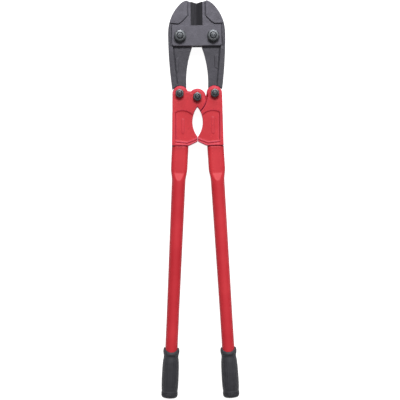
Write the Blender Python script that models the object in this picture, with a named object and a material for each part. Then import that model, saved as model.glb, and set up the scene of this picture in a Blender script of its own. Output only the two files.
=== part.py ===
"""Bolt cutters, 900 mm long, lying flat with the jaws closed.

Frame: X across the tool, Y from the grips to the jaws, Z up from the bench.
The origin is on the bench under the middle of the tool.
"""
import math

import bmesh
import bpy
from mathutils import Matrix, Vector

# Driving dimensions, in metres.
HALF_LENGTH = 0.450                     # grip ends and jaw tips, from the origin
JAW_PIVOT = (0.0374, 0.3684)            # bolt through the straps and one jaw
LINK_PIVOT = (0.0398, 0.2395)           # bolt through a jaw's tail and its handle fork
CENTRE_PIVOT = (0.0, 0.2318)            # bolt through the two handle lugs
GAP = 0.0003                            # working clearance between touching pieces

# Half thicknesses, measured from the tool's mid plane.
NOSE_HALF = 0.012
RAIL_HALF = 0.010
BED_HALF = 0.008
WEB_HALF = 0.0065
TANG_HALF = 0.006
CHEEK_HALF = 0.013
PANEL_HALF = 0.0112

STRAP_THICK = 0.008
STRAP_HALF_WIDTH = 0.056
STRAP_LOW_Y = 0.3468
STRAP_HIGH_Y = 0.3926

LOBE_RADIUS = 0.0178                    # round end of a handle fork
LOBE_INSET = 0.0013                     # its centre lies this far inboard of the bolt
TANG_RADIUS = 0.015
LUG_RADIUS = 0.0192
LUG_TRAVEL = 0.0038                     # how far one lug may shift against the other

# Each bolt: journal radius, thread radius, width across flats, head height, nut height.
JAW_BOLT = {"journal": 0.009, "thread": 0.0065, "flats": 0.024, "head": 0.009, "nut": 0.010}
LINK_BOLT = {"journal": 0.0065, "thread": 0.005, "flats": 0.018, "head": 0.007, "nut": 0.008}
JAW_WASHER = {"outer": 0.014, "thick": 0.0016}
LINK_WASHER = {"outer": 0.0118, "thick": 0.0016}
CENTRE_WASHER = {"outer": 0.0152, "thick": 0.0016}
SPRING_WASHER = {"outer": 0.0088, "thick": 0.0022}
THREAD_END = 0.0025                     # thread that stands out of a nut

TUBE_TOP = (0.0400, 0.1215)             # middle of a tube's mouth, under its handle head
TUBE_SPLAY = math.radians(3.045)
TUBE_LENGTH = 0.5640
TUBE_WALL = 0.0025
GRIP_LENGTH = 0.1155
ROUND_STEPS = 32
BEYOND = 0.04                           # how far a cutter reaches past every face

HEAD_STACK = BED_HALF + GAP + STRAP_THICK + GAP + JAW_WASHER["thick"] + GAP
MID_Z = HEAD_STACK + JAW_BOLT["head"]   # the jaw bolt heads rest on the bench

COLOURS = {
    "forged_steel": ((0.105, 0.098, 0.115), 0.45, 0.6),
    "bolt_steel": ((0.07, 0.085, 0.095), 0.32, 0.9),
    "red_enamel": ((0.58, 0.045, 0.06), 0.35, 0.0),
    "black_rubber": ((0.035, 0.034, 0.038), 0.75, 0.0),
}


def clear_scene():
    for item in list(bpy.data.objects):
        bpy.data.objects.remove(item, do_unlink=True)


def new_collection(name):
    group = bpy.data.collections.new(name)
    bpy.context.scene.collection.children.link(group)
    return group


def make_material(name):
    colour, roughness, metallic = COLOURS[name]
    material = bpy.data.materials.new(name)
    material.use_nodes = True
    shader = material.node_tree.nodes["Principled BSDF"]
    shader.inputs["Base Color"].default_value = (*colour, 1.0)
    shader.inputs["Roughness"].default_value = roughness
    shader.inputs["Metallic"].default_value = metallic
    return material


def link_object(name, mesh, group):
    item = bpy.data.objects.new(name, mesh)
    group.objects.link(item)
    return item


def circle_points(centre, radius, start, end, steps):
    """Points along a circle from one angle to another, in degrees, ends included."""
    points = []
    for index in range(steps + 1):
        angle = math.radians(start + (end - start) * index / steps)
        points.append((centre[0] + radius * math.cos(angle), centre[1] + radius * math.sin(angle)))
    return points


def circle_point(centre, radius, angle):
    """The point of a circle at an angle in degrees."""
    return circle_points(centre, radius, angle, angle, 1)[0]


def angle_at_y(centre, radius, y):
    """Angle in degrees of the circle's right-hand point at a height."""
    return math.degrees(math.asin((y - centre[1]) / radius))


def to_side(points, side):
    return [(x * side, y) for x, y in points]


def slab(name, outline, low, high, group):
    """A flat outline with a thickness from low to high, as a closed mesh."""
    curve = bpy.data.curves.new(name, "CURVE")
    curve.dimensions = "2D"
    curve.fill_mode = "BOTH"
    curve.extrude = (high - low) / 2
    spline = curve.splines.new("POLY")
    spline.points.add(len(outline) - 1)
    spline.use_cyclic_u = True
    for point, (x, y) in zip(spline.points, outline):
        point.co = (x, y, 0.0, 1.0)
    drawn = link_object(name + "_outline", curve, group)
    drawn.location.z = (high + low) / 2
    bpy.context.view_layer.update()
    evaluated = drawn.evaluated_get(bpy.context.evaluated_depsgraph_get())
    mesh = bpy.data.meshes.new_from_object(evaluated)
    item = link_object(name, mesh, group)
    item.matrix_world = drawn.matrix_world.copy()
    bpy.data.objects.remove(drawn, do_unlink=True)
    shape = bmesh.new()
    shape.from_mesh(mesh)
    bmesh.ops.remove_doubles(shape, verts=shape.verts, dist=0.00001)
    bmesh.ops.recalc_face_normals(shape, faces=shape.faces)
    bmesh.ops.translate(shape, verts=shape.verts, vec=item.location)
    shape.to_mesh(mesh)
    shape.free()
    item.location = (0.0, 0.0, 0.0)
    return item


def turned_bar(name, radius, low, high, group, centre=(0.0, 0.0), sides=ROUND_STEPS):
    """A cylinder, or a hexagon with sides=6, standing along Z."""
    mesh = bpy.data.meshes.new(name)
    shape = bmesh.new()
    place = Matrix.Translation((centre[0], centre[1], (low + high) / 2))
    bmesh.ops.create_cone(shape, cap_ends=True, segments=sides, radius1=radius, radius2=radius,
                          depth=high - low, matrix=place)
    shape.to_mesh(mesh)
    shape.free()
    return link_object(name, mesh, group)


def boolean(body, tool, operation):
    """Cuts, joins or keeps the shared part of two closed meshes, then drops the tool."""
    tool.hide_render = True
    tool.display_type = "WIRE"
    change = body.modifiers.new(operation.lower(), "BOOLEAN")
    change.operation = operation
    change.solver = "EXACT"
    change.object = tool
    bpy.context.view_layer.update()
    evaluated = body.evaluated_get(bpy.context.evaluated_depsgraph_get())
    result = bpy.data.meshes.new_from_object(evaluated)
    body.modifiers.clear()
    body.data = result
    bpy.data.objects.remove(tool, do_unlink=True)


def cut_both_faces(body, outline, level, group):
    """Lowers the area inside an outline to a level, on the front and on the back."""
    for low, high in ((level, BEYOND), (-BEYOND, -level)):
        boolean(body, slab("face_cutter", outline, low, high, group), "DIFFERENCE")


def drill(body, centre, radius, group):
    boolean(body, turned_bar("drill", radius, -BEYOND, BEYOND, group, centre), "DIFFERENCE")


def finish(item, material, joint, group):
    """Gives a piece its material and collection, and hangs it on its joint's empty."""
    item.data.materials.clear()
    item.data.materials.append(material)
    for owner in list(item.users_collection):
        owner.objects.unlink(item)
    group.objects.link(item)
    item.data.shade_smooth()
    item.data.set_sharp_from_angle(angle=math.radians(30))
    item.parent = joint
    item.location = -Vector((joint.location.x, joint.location.y, 0.0))
    return item


# ---------------------------------------------------------------- jaws

NOSE_ARC = ((-0.0279, 0.3760), 0.0927)
BACK_ARC = ((-0.9102, 0.3760), 0.9750)
INNER_ARC = ((-0.2061, 0.2660), 0.2310)
TIP = (0.0226, HALF_LENGTH)
TOOTH_RADIUS = 0.0045
POCKET_RADIUS = 0.0052
TOOTH_Y = JAW_PIVOT[1]
EDGE_X = 0.00015
BEVEL_WIDTH = 0.0135
SHOULDER_RADIUS = LOBE_RADIUS + 0.0005
LOBE_CENTRE = (LINK_PIVOT[0] - LOBE_INSET, LINK_PIVOT[1])


def jaw_outline():
    """Right jaw, anticlockwise from the tooth: edge, nose, back, tail round the link bolt."""
    points = [(EDGE_X, 0.4428), TIP, (0.0248, 0.4498), (0.0314, 0.4466)]
    centre, radius = NOSE_ARC
    points += circle_points(centre, radius, angle_at_y(centre, radius, 0.4430), 0.0, 9)
    centre, radius = BACK_ARC
    points += circle_points(centre, radius, 0.0, angle_at_y(centre, radius, 0.2500), 7)[1:]
    points.append(circle_point(LOBE_CENTRE, SHOULDER_RADIUS, 55.0))
    points += circle_points(LINK_PIVOT, TANG_RADIUS, 56.0, -217.0, 20)
    points.append(circle_point(LOBE_CENTRE, SHOULDER_RADIUS, 138.7))
    centre, radius = INNER_ARC
    low_angle = angle_at_y(centre, radius, 0.2570)
    points += circle_points(centre, radius, low_angle, angle_at_y(centre, radius, 0.3470), 8)
    points += [(0.0030, 0.3560), (0.0008, 0.3630), (EDGE_X, 0.3660)]
    return points[::-1]


def jaw(side, material, joint, parts, cutters):
    name = "right_jaw" if side > 0 else "left_jaw"
    body = slab(name, to_side(jaw_outline(), side), -NOSE_HALF, NOSE_HALF, cutters)
    below_nose = [(-0.02, 0.3974), (0.0410, 0.3974), (0.0600, 0.3986), (0.0900, 0.3986),
                  (0.0900, 0.2), (-0.02, 0.2)]
    strap_bed = [(-0.02, 0.47), (0.0206, 0.47), (0.0206, 0.4156), (0.0330, 0.4025),
                 (0.0410, 0.3974), (0.0574, 0.3984), (0.0571, 0.3720), (0.0594, 0.3464),
                 (0.0536, 0.3440), (-0.02, 0.3440)]
    web = [(-0.02, 0.3462), (0.0536, 0.3462), (0.0534, 0.3430), (0.0520, 0.3240),
           (0.0486, 0.2900), (0.0455, 0.2580), (0.0440, 0.2400), (-0.02, 0.2400)]
    tail = circle_points(LOBE_CENTRE, SHOULDER_RADIUS, 0.0, 360.0, 48)[:-1]
    areas = ((below_nose, RAIL_HALF), (strap_bed, BED_HALF), (web, WEB_HALF), (tail, TANG_HALF))
    for area, level in areas:
        cut_both_faces(body, to_side(area, side), level, cutters)
    for face in (1, -1):
        boolean(body, edge_bevel(side, face, cutters), "DIFFERENCE")
    if side > 0:
        drill(body, (0.0, TOOTH_Y), POCKET_RADIUS, cutters)
    else:
        tooth = turned_bar("tooth", TOOTH_RADIUS, -BED_HALF + 0.0002, BED_HALF - 0.0002, cutters,
                           (0.0, TOOTH_Y), 20)
        boolean(body, tooth, "UNION")
    drill(body, (side * JAW_PIVOT[0], JAW_PIVOT[1]), JAW_BOLT["journal"] + GAP, cutters)
    drill(body, (side * LINK_PIVOT[0], LINK_PIVOT[1]), LINK_BOLT["journal"] + GAP, cutters)
    return finish(body, material, joint, parts)


def edge_bevel(side, face, group):
    """Wedge that grinds one slope of a cutting edge, from the tip down to the tooth."""
    land = 0.0003
    mesh = bpy.data.meshes.new("edge_bevel")
    shape = bmesh.new()
    corners = [(-0.01, land), (EDGE_X, land), (BEVEL_WIDTH, BED_HALF),
               (BEVEL_WIDTH + 0.0085, BED_HALF + 0.005), (-0.01, BED_HALF + 0.005)]
    ring = [shape.verts.new((x * side, 0.3775, z * face)) for x, z in corners]
    bottom = shape.faces.new(ring)
    grown = bmesh.ops.extrude_face_region(shape, geom=[bottom])
    moved = [item for item in grown["geom"] if isinstance(item, bmesh.types.BMVert)]
    bmesh.ops.translate(shape, verts=moved, vec=(0.0, 0.09, 0.0))
    bmesh.ops.recalc_face_normals(shape, faces=shape.faces)
    shape.to_mesh(mesh)
    shape.free()
    return link_object("edge_bevel", mesh, group)


# ---------------------------------------------------------------- straps and bolts

def strap(name, face, material, joint, parts, cutters):
    """One cheek plate over both jaw bolts, face +1 in front and -1 behind."""
    half, corner = STRAP_HALF_WIDTH, 0.0035
    right = [(half - corner, STRAP_LOW_Y), (half, STRAP_LOW_Y + corner),
             (half, STRAP_HIGH_Y - 0.0015), (half - 0.0015, STRAP_HIGH_Y)]
    outline = right + to_side(right[::-1], -1)
    inner = face * (BED_HALF + GAP)
    outer = face * (BED_HALF + GAP + STRAP_THICK)
    body = slab(name, outline, min(inner, outer), max(inner, outer), cutters)
    soften_edges(body, 0.0008)
    for side in (1, -1):
        drill(body, (side * JAW_PIVOT[0], JAW_PIVOT[1]), JAW_BOLT["journal"] + GAP, cutters)
    return finish(body, material, joint, parts)


def soften_edges(body, width):
    """Chamfers the corners all round both faces of a plate."""
    shape = bmesh.new()
    shape.from_mesh(body.data)
    bmesh.ops.dissolve_limit(shape, angle_limit=0.01, verts=shape.verts, edges=shape.edges)
    corner = math.radians(50)
    sharp = [edge for edge in shape.edges if edge.calc_face_angle(0.0) > corner]
    rims = [edge for edge in sharp if abs(edge.verts[0].co.z - edge.verts[1].co.z) < 0.0001]
    bmesh.ops.bevel(shape, geom=rims, offset=width, offset_type="OFFSET", affect="EDGES",
                    segments=1, profile=0.5, material=-1)
    shape.to_mesh(body.data)
    shape.free()


def bolt(name, centre, sizes, back, front, material, joint, parts, cutters):
    """Shoulder bolt: hexagon head behind, journal through the plates, thread in front.

    back is the head's bearing face and front is the end of the journal.
    """
    head_radius = sizes["flats"] / math.sqrt(3)
    body = turned_bar(name, head_radius, back - sizes["head"], back, cutters, centre, 6)
    journal = turned_bar("journal", sizes["journal"], back - 0.001, front, cutters, centre)
    boolean(body, journal, "UNION")
    thread_top = front + GAP + sizes["washer"] + GAP + sizes["nut"] + THREAD_END
    thread = turned_bar("thread", sizes["thread"], front - 0.001, thread_top, cutters, centre, 24)
    boolean(body, thread, "UNION")
    return finish(body, material, joint, parts)


def nut(name, centre, sizes, base, material, joint, parts, cutters):
    radius = sizes["flats"] / math.sqrt(3)
    body = turned_bar(name, radius, base, base + sizes["nut"], cutters, centre, 6)
    drill(body, centre, sizes["thread"] + GAP, cutters)
    return finish(body, material, joint, parts)


def washer(name, centre, sizes, bore, base, material, joint, parts, cutters, tabs=(), split=False):
    """Flat ring. tabs are angles of ears bent up against a nut, split opens a spring washer."""
    top = base + sizes["thick"]
    body = turned_bar(name, sizes["outer"], base, top, cutters, centre)
    for angle in tabs:
        boolean(body, washer_tab(centre, angle, base, sizes["outer"], cutters), "UNION")
    drill(body, centre, bore + GAP, cutters)
    if split:
        slot = [(-0.0006, 0.0), (0.0012, 0.0), (0.0024, 0.03), (0.0006, 0.03)]
        placed = [(centre[0] + x, centre[1] + y) for x, y in slot]
        boolean(body, slab("slot", placed, base - 0.01, top + 0.01, cutters), "DIFFERENCE")
    return finish(body, material, joint, parts)


def washer_tab(centre, angle, base, reach, group):
    """An ear of a tab washer: it stands just clear of the nut's flat."""
    inner = JAW_BOLT["flats"] / 2 + GAP
    turn = math.radians(angle)
    corners = [(inner, -0.0035), (reach - 0.0002, -0.0035), (reach - 0.0002, 0.0035),
               (inner, 0.0035)]
    outline = []
    for along, across in corners:
        x = centre[0] + along * math.cos(turn) - across * math.sin(turn)
        y = centre[1] + along * math.sin(turn) + across * math.cos(turn)
        outline.append((x, y))
    return slab("tab", outline, base + 0.0002, base + 0.0065, group)


# ---------------------------------------------------------------- handle heads

LENS_ARC = ((-0.0449, 0.17575), 0.0565)
STOP_X = 0.00015
STOP_LOW_Y = 0.1320
WALL_ARC = ((-0.0267, 0.2360), 0.0500)
WALL_LOW_Y = 0.1975
LAP_ARC = ((0.0267, 0.2360), 0.0486)
HEAD_FOOT_Y = TUBE_TOP[1] + GAP


def head_outline(side):
    """Handle head seen with its outer edge at +X, lug and stop face at X = 0.

    The left head carries the front lug and has a shallow saddle beside it,
    the right head carries the rear lug and is notched deeper.
    """
    points = [(0.0585, HEAD_FOOT_Y), (0.0565, 0.2250)]
    if side > 0:
        points += circle_points(LOBE_CENTRE, LOBE_RADIUS, 0.0, 180.0, 30)
        points += [(0.0197, 0.2346)]
        points += circle_points(CENTRE_PIVOT, LUG_RADIUS, 7.0, 183.0, 28)
    else:
        points += circle_points(LOBE_CENTRE, LOBE_RADIUS, 0.0, 158.0, 26)
        points += [(0.0196, 0.2450), (0.0168, 0.2450)]
        points += circle_points(CENTRE_PIVOT, LUG_RADIUS, 41.0, 183.0, 23)
    points += lap_edge()
    centre, radius = LENS_ARC
    points += circle_points(centre, radius, 37.3, -37.1, 20)
    points += [(STOP_X, STOP_LOW_Y), (0.0021, 0.1303), (0.0118, 0.1255), (0.0201, HEAD_FOOT_Y)]
    return points


def lap_edge():
    """Edge of the lap below the lug: beside the other head's wall, then round the opening's peak."""
    centre, radius = LAP_ARC
    points = circle_points(centre, radius, 200.0, 227.6, 8)
    centre, radius = LENS_ARC
    return points + circle_points((-centre[0], centre[1]), radius, 154.4, 142.7, 6)


def lug_clearance():
    """Area of one half thickness that the other handle's lug needs, with its shift."""
    swing = LUG_RADIUS + GAP
    shifted = (CENTRE_PIVOT[0] + LUG_TRAVEL, CENTRE_PIVOT[1])
    centre, radius = WALL_ARC
    points = circle_points(centre, radius, angle_at_y(centre, radius, WALL_LOW_Y), -4.2, 8)
    points += circle_points(shifted, swing, 2.0, 90.0, 14)
    points += [(-0.0300, CENTRE_PIVOT[1] + swing), (-0.0300, WALL_LOW_Y)]
    return points


def panel_outline():
    """Sunk panel on both faces of a handle head, open to the inner edge."""
    brow = circle_points((0.0345, 0.1681), 0.0328, 60.0, 133.8, 9)
    return [(0.0502, 0.1348), (0.0502, 0.1958)] + brow + [
        (0.0, 0.1860), (-0.0100, 0.1800), (-0.0100, 0.1460), (0.0054, 0.1382),
        (0.0235, 0.1307), (0.0488, 0.1336)]


def groove_outline():
    """Narrow groove between the panel's two lower ribs."""
    return [(0.0500, 0.1284), (0.0500, 0.1302), (0.0238, 0.1272), (0.0080, 0.1326),
            (-0.0020, 0.1370), (-0.0020, 0.1352), (0.0075, 0.1308), (0.0235, 0.1254)]


def handle_head(side, material, joint, parts, cutters):
    name = "right_handle_head" if side > 0 else "left_handle_head"
    body = slab(name, to_side(head_outline(side), side), -CHEEK_HALF, CHEEK_HALF, cutters)
    boolean(body, shank(side, cutters), "UNION")
    # The left head keeps its front half at the centre bolt, the right head its rear half.
    low, high = (-GAP, BEYOND) if side > 0 else (-BEYOND, GAP)
    notch = slab("lug_notch", to_side(lug_clearance(), side), low, high, cutters)
    boolean(body, notch, "DIFFERENCE")
    boolean(body, slab("fork_slot", to_side(fork_slot(), side), -TANG_HALF - GAP,
                       TANG_HALF + GAP, cutters), "DIFFERENCE")
    cut_both_faces(body, to_side(panel_outline(), side), PANEL_HALF, cutters)
    cut_both_faces(body, to_side(groove_outline(), side), PANEL_HALF, cutters)
    drill(body, (side * LINK_PIVOT[0], LINK_PIVOT[1]), LINK_BOLT["journal"] + GAP, cutters)
    # The right lug's bore is wide, because the linkage is opened here.
    bore = LINK_BOLT["journal"] + GAP
    if side > 0:
        bore += LUG_TRAVEL
    drill(body, CENTRE_PIVOT, bore, cutters)
    return finish(body, material, joint, parts)


def fork_slot():
    """Slot between the cheeks: round under the jaw's tail, open where the jaw swings."""
    points = circle_points(LINK_PIVOT, TANG_RADIUS + 0.0006, 146.0, 358.0, 24)
    points += [(0.0800, LINK_PIVOT[1] - 0.0014), (0.0800, 0.2900), (0.0050, 0.2900)]
    points.append(circle_point(LINK_PIVOT, 0.0400, 146.0))
    return points


def shank(side, group):
    """Tongue of the casting that fills the flattened mouth of the tube."""
    half_width = 0.01875 - TUBE_WALL - GAP
    half_thick = 0.0095 - TUBE_WALL - GAP
    mesh = bpy.data.meshes.new("shank")
    shape = bmesh.new()
    bmesh.ops.create_cube(shape, size=1.0)
    bmesh.ops.scale(shape, verts=shape.verts, vec=(half_width * 2, 0.0600, half_thick * 2))
    long_edges = [edge for edge in shape.edges
                  if abs(edge.verts[0].co.y - edge.verts[1].co.y) > 0.01]
    bmesh.ops.bevel(shape, geom=long_edges, offset=half_thick * 0.98, affect="EDGES",
                    segments=6, profile=0.5, material=-1)
    bmesh.ops.translate(shape, verts=shape.verts, vec=(0.0, -0.0260, 0.0))
    shape.to_mesh(mesh)
    shape.free()
    item = link_object("shank", mesh, group)
    item.location = (side * TUBE_TOP[0], TUBE_TOP[1], 0.0)
    item.rotation_euler.z = side * TUBE_SPLAY
    return item


# ---------------------------------------------------------------- tubes and grips

def tube_stations():
    """Distance down the tube, half width and half thickness: flat mouth, round body, taper."""
    stations = [(0.0, 0.01875, 0.0095), (0.0560, 0.01875, 0.0095)]
    for step in range(1, 5):
        blend = step / 4
        ease = blend * blend * (3 - 2 * blend)
        stations.append((0.0560 + 0.0230 * blend, 0.01875 - 0.00325 * ease, 0.0095 + 0.0060 * ease))
    stations.append((0.3720, 0.0140, 0.0140))
    stations.append((TUBE_LENGTH, 0.0140, 0.0140))
    return stations


def tube_ring(shape, down, half_width, half_thick, slope):
    """One ring of a rounded section: four quarter turns joined by flats."""
    corner = min(half_width, half_thick)
    ring = []
    for index in range(ROUND_STEPS):
        angle = 2 * math.pi * (index + 0.5) / ROUND_STEPS
        x = math.copysign(half_width - corner, math.cos(angle)) + corner * math.cos(angle)
        z = math.copysign(half_thick - corner, math.sin(angle)) + corner * math.sin(angle)
        ring.append(shape.verts.new((x, -down - x * slope, z)))
    return ring


def tube(side, material, joint, parts):
    """Handle tube, pressed flat at the mouth that takes the casting's tongue."""
    name = "right_tube" if side > 0 else "left_tube"
    mesh = bpy.data.meshes.new(name)
    shape = bmesh.new()
    outside, inside = [], []
    for down, half_width, half_thick in tube_stations():
        # The mouth is cut level, so that it meets the handle head squarely.
        slope = math.tan(side * TUBE_SPLAY) if down == 0.0 else 0.0
        outside.append(tube_ring(shape, down, half_width, half_thick, slope))
        inside.append(tube_ring(shape, down, half_width - TUBE_WALL, half_thick - TUBE_WALL, slope))
    loop = outside + inside[::-1]
    for ring, following in zip(loop, loop[1:] + loop[:1]):
        for index in range(ROUND_STEPS):
            after = (index + 1) % ROUND_STEPS
            shape.faces.new((ring[index], ring[after], following[after], following[index]))
    bmesh.ops.recalc_face_normals(shape, faces=shape.faces)
    place = Matrix.Translation((side * TUBE_TOP[0], TUBE_TOP[1], 0.0))
    bmesh.ops.transform(shape, verts=shape.verts,
                        matrix=place @ Matrix.Rotation(side * TUBE_SPLAY, 4, "Z"))
    shape.to_mesh(mesh)
    shape.free()
    return finish(link_object(name, mesh, parts), material, joint, parts)


# Grip outline from the rim at the top to the closed end: distance down and radius.
GRIP_PROFILE = [(0.0, 0.0150), (0.0010, 0.0168), (0.0045, 0.0182), (0.0090, 0.0185),
                (0.0140, 0.0180), (0.0180, 0.0170), (0.0210, 0.0167), (0.0260, 0.0173),
                (0.0330, 0.0183), (0.0450, 0.0188), (0.0730, 0.0192), (0.0900, 0.0188),
                (0.0980, 0.0181), (0.1010, 0.0181), (0.1030, 0.0186), (0.1060, 0.0188),
                (0.1100, 0.0182), (0.1130, 0.0158), (0.1148, 0.0110), (GRIP_LENGTH, 0.0)]
GRIP_BORE = 0.0140 + GAP
GRIP_FLOOR = 0.1100


def grip(side, material, joint, parts, cutters):
    """Rubber sleeve with a closed end, pushed over the tube. It is cut away front and back."""
    name = "right_grip" if side > 0 else "left_grip"
    profile = GRIP_PROFILE + [(GRIP_FLOOR, 0.0), (GRIP_FLOOR, GRIP_BORE), (0.0, GRIP_BORE)]
    mesh = bpy.data.meshes.new(name)
    shape = bmesh.new()
    verts = [shape.verts.new((radius, -down, 0.0)) for down, radius in profile]
    edges = [shape.edges.new(pair) for pair in zip(verts, verts[1:] + verts[:1])
             if pair != (verts[len(GRIP_PROFILE) - 1], verts[len(GRIP_PROFILE)])]
    bmesh.ops.spin(shape, geom=verts + edges, cent=(0, 0, 0), axis=(0, 1, 0),
                   angle=2 * math.pi, steps=ROUND_STEPS, use_merge=True)
    bmesh.ops.remove_doubles(shape, verts=shape.verts, dist=0.00001)
    bmesh.ops.recalc_face_normals(shape, faces=shape.faces)
    shape.to_mesh(mesh)
    shape.free()
    body = link_object(name, mesh, cutters)
    mouth = turned_bar("mouth", 1.0, -0.03, 0.03, cutters)
    mouth.scale = (0.0158, 0.0110, 1.0)
    boolean(body, mouth, "DIFFERENCE")
    turn = Matrix.Rotation(side * TUBE_SPLAY, 4, "Z")
    foot = Vector((side * TUBE_TOP[0], TUBE_TOP[1], 0.0))
    start = foot + turn @ Vector((0.0, -grip_start(), 0.0))
    body.data.transform(Matrix.Translation(start) @ turn)
    return finish(body, material, joint, parts)


def grip_start():
    """Distance down the tube to the grip's rim, so that the grip ends at the tool's end."""
    return (TUBE_TOP[1] + HALF_LENGTH) / math.cos(TUBE_SPLAY) - GRIP_LENGTH


# ---------------------------------------------------------------- assembly

def joint_empty(name, centre, group):
    empty = bpy.data.objects.new(name, None)
    empty.empty_display_size = 0.03
    empty.location = (centre[0], centre[1], MID_Z)
    group.objects.link(empty)
    return empty


def build_head(finishes, joint, parts, cutters):
    """Straps, and the bolts that hold them over the jaws."""
    strap("front_strap", 1, finishes["forged_steel"], joint, parts, cutters)
    strap("rear_strap", -1, finishes["forged_steel"], joint, parts, cutters)
    steel = finishes["bolt_steel"]
    sizes = dict(JAW_BOLT, washer=JAW_WASHER["thick"])
    strap_face = BED_HALF + GAP + STRAP_THICK
    for side, word, tabs in ((-1, "left", (60, 120)), (1, "right", (0,))):
        centre = (side * JAW_PIVOT[0], JAW_PIVOT[1])
        bolt(word + "_jaw_bolt", centre, sizes, -HEAD_STACK, strap_face, steel, joint, parts,
             cutters)
        nut(word + "_jaw_nut", centre, sizes, HEAD_STACK, steel, joint, parts, cutters)
        washer(word + "_tab_washer", centre, JAW_WASHER, JAW_BOLT["thread"], strap_face + GAP,
               steel, joint, parts, cutters, tabs=tabs)
        washer(word + "_jaw_washer", centre, JAW_WASHER, JAW_BOLT["journal"],
               -HEAD_STACK + GAP, steel, joint, parts, cutters)


def build_link_bolt(word, centre, rear_washer, steel, joint, parts, cutters):
    """Bolt, nut, spring washer and rear washer at a link bolt or at the centre bolt."""
    sizes = dict(LINK_BOLT, washer=SPRING_WASHER["thick"])
    rear = -CHEEK_HALF - GAP - rear_washer["thick"]
    front = CHEEK_HALF + GAP
    name = "centre" if word == "centre" else word + "_link"
    bolt(name + "_bolt", centre, sizes, rear - GAP, CHEEK_HALF, steel, joint, parts, cutters)
    nut(name + "_nut", centre, sizes, front + SPRING_WASHER["thick"] + GAP, steel, joint, parts,
        cutters)
    washer(name + "_spring_washer", centre, SPRING_WASHER, LINK_BOLT["thread"], front, steel,
           joint, parts, cutters, split=True)
    washer(name + "_washer", centre, rear_washer, LINK_BOLT["journal"], rear, steel, joint,
           parts, cutters)


def build():
    clear_scene()
    parts = new_collection("bolt_cutters")
    cutters = new_collection("cutters")
    finishes = {name: make_material(name) for name in COLOURS}
    head_joint = joint_empty("head_frame", (0.0, JAW_PIVOT[1]), parts)
    build_head(finishes, head_joint, parts, cutters)
    for side, word in ((-1, "left"), (1, "right")):
        jaw_joint = joint_empty(word + "_jaw_joint", (side * JAW_PIVOT[0], JAW_PIVOT[1]), parts)
        link_joint = joint_empty(word + "_handle_joint",
                                 (side * LINK_PIVOT[0], LINK_PIVOT[1]), parts)
        jaw(side, finishes["forged_steel"], jaw_joint, parts, cutters)
        handle_head(side, finishes["red_enamel"], link_joint, parts, cutters)
        tube(side, finishes["red_enamel"], link_joint, parts)
        grip(side, finishes["black_rubber"], link_joint, parts, cutters)
        build_link_bolt(word, (side * LINK_PIVOT[0], LINK_PIVOT[1]), LINK_WASHER,
                        finishes["bolt_steel"], link_joint, parts, cutters)
        if side < 0:
            build_link_bolt("centre", CENTRE_PIVOT, CENTRE_WASHER, finishes["bolt_steel"],
                            link_joint, parts, cutters)


build()
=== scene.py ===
"""Bolt cutters: forged jaws under two straps, red handle castings, tubes and rubber grips."""
import math

import bmesh
import bpy
import numpy as np
from mathutils import Matrix, Vector, kdtree, noise


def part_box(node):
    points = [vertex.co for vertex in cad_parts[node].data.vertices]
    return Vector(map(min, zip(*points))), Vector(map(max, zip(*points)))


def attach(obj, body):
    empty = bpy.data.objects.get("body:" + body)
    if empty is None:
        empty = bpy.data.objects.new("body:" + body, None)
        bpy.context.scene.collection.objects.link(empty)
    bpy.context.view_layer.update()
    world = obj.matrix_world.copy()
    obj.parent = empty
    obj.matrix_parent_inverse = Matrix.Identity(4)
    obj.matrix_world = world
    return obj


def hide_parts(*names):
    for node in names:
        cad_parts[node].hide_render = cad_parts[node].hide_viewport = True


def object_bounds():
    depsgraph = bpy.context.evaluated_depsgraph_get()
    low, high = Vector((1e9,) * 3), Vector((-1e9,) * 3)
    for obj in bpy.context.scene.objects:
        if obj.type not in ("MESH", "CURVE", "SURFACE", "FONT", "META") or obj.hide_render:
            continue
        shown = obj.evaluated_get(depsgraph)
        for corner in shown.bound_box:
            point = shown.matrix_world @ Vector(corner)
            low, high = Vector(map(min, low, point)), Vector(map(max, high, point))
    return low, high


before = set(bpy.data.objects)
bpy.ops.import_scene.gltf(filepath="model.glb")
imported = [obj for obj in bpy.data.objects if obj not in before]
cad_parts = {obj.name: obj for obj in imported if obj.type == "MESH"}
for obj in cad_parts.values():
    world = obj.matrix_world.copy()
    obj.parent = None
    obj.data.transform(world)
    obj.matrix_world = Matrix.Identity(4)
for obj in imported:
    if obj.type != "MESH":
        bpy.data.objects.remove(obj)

frame_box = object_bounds()
sides = {"left": -1, "right": 1}


def middle_of(node):
    low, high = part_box(node)
    return (low + high) / 2


middle_z = middle_of("right_jaw").z
link_pivot = middle_of("right_link_bolt")
centre_pivot = middle_of("centre_bolt")


# ---------------------------------------------------------------- jaws
# Two drop-forged alloy steel jaws, hardened and blackened. Each is one piece from the cutting
# edge to the tail that the handle drives. They are darker on the levers and outer rails.

forging_grain = 0.0006
forging_softness = 3
forging_unevenness = 0.00022
forging_spread = 0.010
wear_and_light_depth = 0.0004
face_band = 0.0006
edge_land = 0.0003
edge_slope_width = 0.0135
edge_slope_rise = 0.0077
edge_foot_y = 0.3782
edge_blunt_share = 0.130
edge_apex_y = 0.4442
edge_brow_slope = 0.25
edge_brow_band = 0.0048
edge_catch = 0.0016
blade_gap = -0.000005
blade_half_thick = 0.0081
web_level = 0.0065
rail_foot = ((0.0524, 0.3440), (0.0510, 0.3240), (0.0476, 0.2900), (0.0450, 0.2620))
rail_foot_half_width = 0.0016
rail_foot_depth = 0.0013
bed_level = 0.0080
nose_corners = ((0.0199, 0.4560), (0.0199, 0.4153), (0.0326, 0.4020))
nose_step_half_width = 0.0014
nose_step_depths = (0.0014, 0.0005)
cartouche_height = 0.0012
border_half_width = 0.0006


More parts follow.
